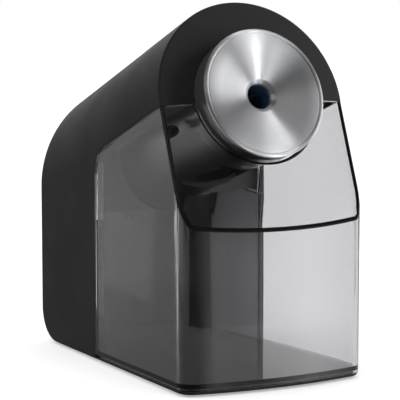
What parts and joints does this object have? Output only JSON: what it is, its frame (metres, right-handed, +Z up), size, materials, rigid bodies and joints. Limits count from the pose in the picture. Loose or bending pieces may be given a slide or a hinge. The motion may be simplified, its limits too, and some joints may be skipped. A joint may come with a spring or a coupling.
{
  "type": "electric pencil sharpener",
  "caption": "Desktop electric pencil sharpener: arched black housing, smoke-clear shavings bin that pulls out, sloping barrel with a dished aluminium face and pencil hole, geared helical cutter.",
  "frame": {"origin": "middle of the footprint, on the surface that the feet stand on", "axes": "+X the user's right seen from the front, -Y towards the user, +Z up"},
  "size_m": [0.084, 0.145, 0.1535],
  "materials": {
    "housing_plastic": "fine matte texture",
    "clear_smoke": "smoke-clear glossy plastic",
    "barrel_plastic": "satin",
    "brushed_aluminium": "circular brushing",
    "guide_plastic": "semi-gloss dark blue",
    "inner_plastic": "satin",
    "gear_plastic": "natural acetal",
    "steel": "ground",
    "tool_steel": "ground and oiled",
    "zinc_steel": "zinc plated",
    "bronze": "sintered bronze",
    "foot_rubber": "matt",
    "terminal_plastic": "satin"
  },
  "bodies": {
    "housing": {"main_shell": "housing_plastic", "back_cover": "housing_plastic", "cover_screws": "steel", "rubber_feet": "foot_rubber", "motor_deck": "housing_plastic", "barrel_sleeve": "barrel_plastic", "barrel_screws": "steel", "face_disc": "brushed_aluminium", "pencil_guide": "guide_plastic", "front_plate": "inner_plastic", "ring_gear": "gear_plastic", "gear_plate": "inner_plastic", "rear_bushes": "bronze", "motor_can": "zinc_steel", "motor_end_cap": "inner_plastic", "motor_screws": "steel", "thermal_cutout": "zinc_steel", "start_switch": "inner_plastic", "interlock_switch": "inner_plastic", "cord_gland": "foot_rubber", "terminal_block": "terminal_plastic"},
    "bin": {"shavings_bin": "clear_smoke"},
    "carrier": {"cutter_carrier": "inner_plastic", "carrier_bush": "bronze", "drive_gear": "gear_plastic"},
    "cutter": {"helical_cutter": "tool_steel", "cutter_shaft": "steel", "planet_pinion": "steel"},
    "motor_rotor": {"motor_shaft": "steel", "motor_pinion": "steel"},
    "start_button": {"start_button": "guide_plastic"},
    "interlock_plunger": {"interlock_plunger": "guide_plastic"}
  },
  "joints": [
    {"name": "bin_slide", "type": "slide", "parent": "housing", "child": "bin", "axis": [0, -1, 0], "range_m": [0, 0.14]},
    {"name": "carrier_spin", "type": "hinge", "parent": "housing", "child": "carrier", "pos_m": [0, -0.02082, 0.10404], "axis": [0, -0.9397, 0.342], "continuous": true},
    {"name": "cutter_spin", "type": "hinge", "parent": "carrier", "child": "cutter", "pos_m": [0, -0.03058, 0.12036], "axis": [0, -0.8746, 0.4848], "continuous": true},
    {"name": "motor_spin", "type": "hinge", "parent": "housing", "child": "motor_rotor", "pos_m": [0, 0.02227, 0.10549], "axis": [0, -0.9397, 0.342], "continuous": true},
    {"name": "start_press", "type": "slide", "parent": "housing", "child": "start_button", "axis": [0, 0.9397, -0.342], "range_m": [0, 0.001], "stiffness_N_per_m": 200, "springref_m": -0.001},
    {"name": "interlock_press", "type": "slide", "parent": "housing", "child": "interlock_plunger", "axis": [0, 1, 0], "range_m": [0, 0.0015], "stiffness_N_per_m": 200, "springref_m": -0.001}
  ],
  "couplings": [
    {"joint": "cutter_spin", "follows": "carrier_spin", "ratio": -3},
    {"joint": "motor_spin", "follows": "carrier_spin", "ratio": -3.6}
  ]
}
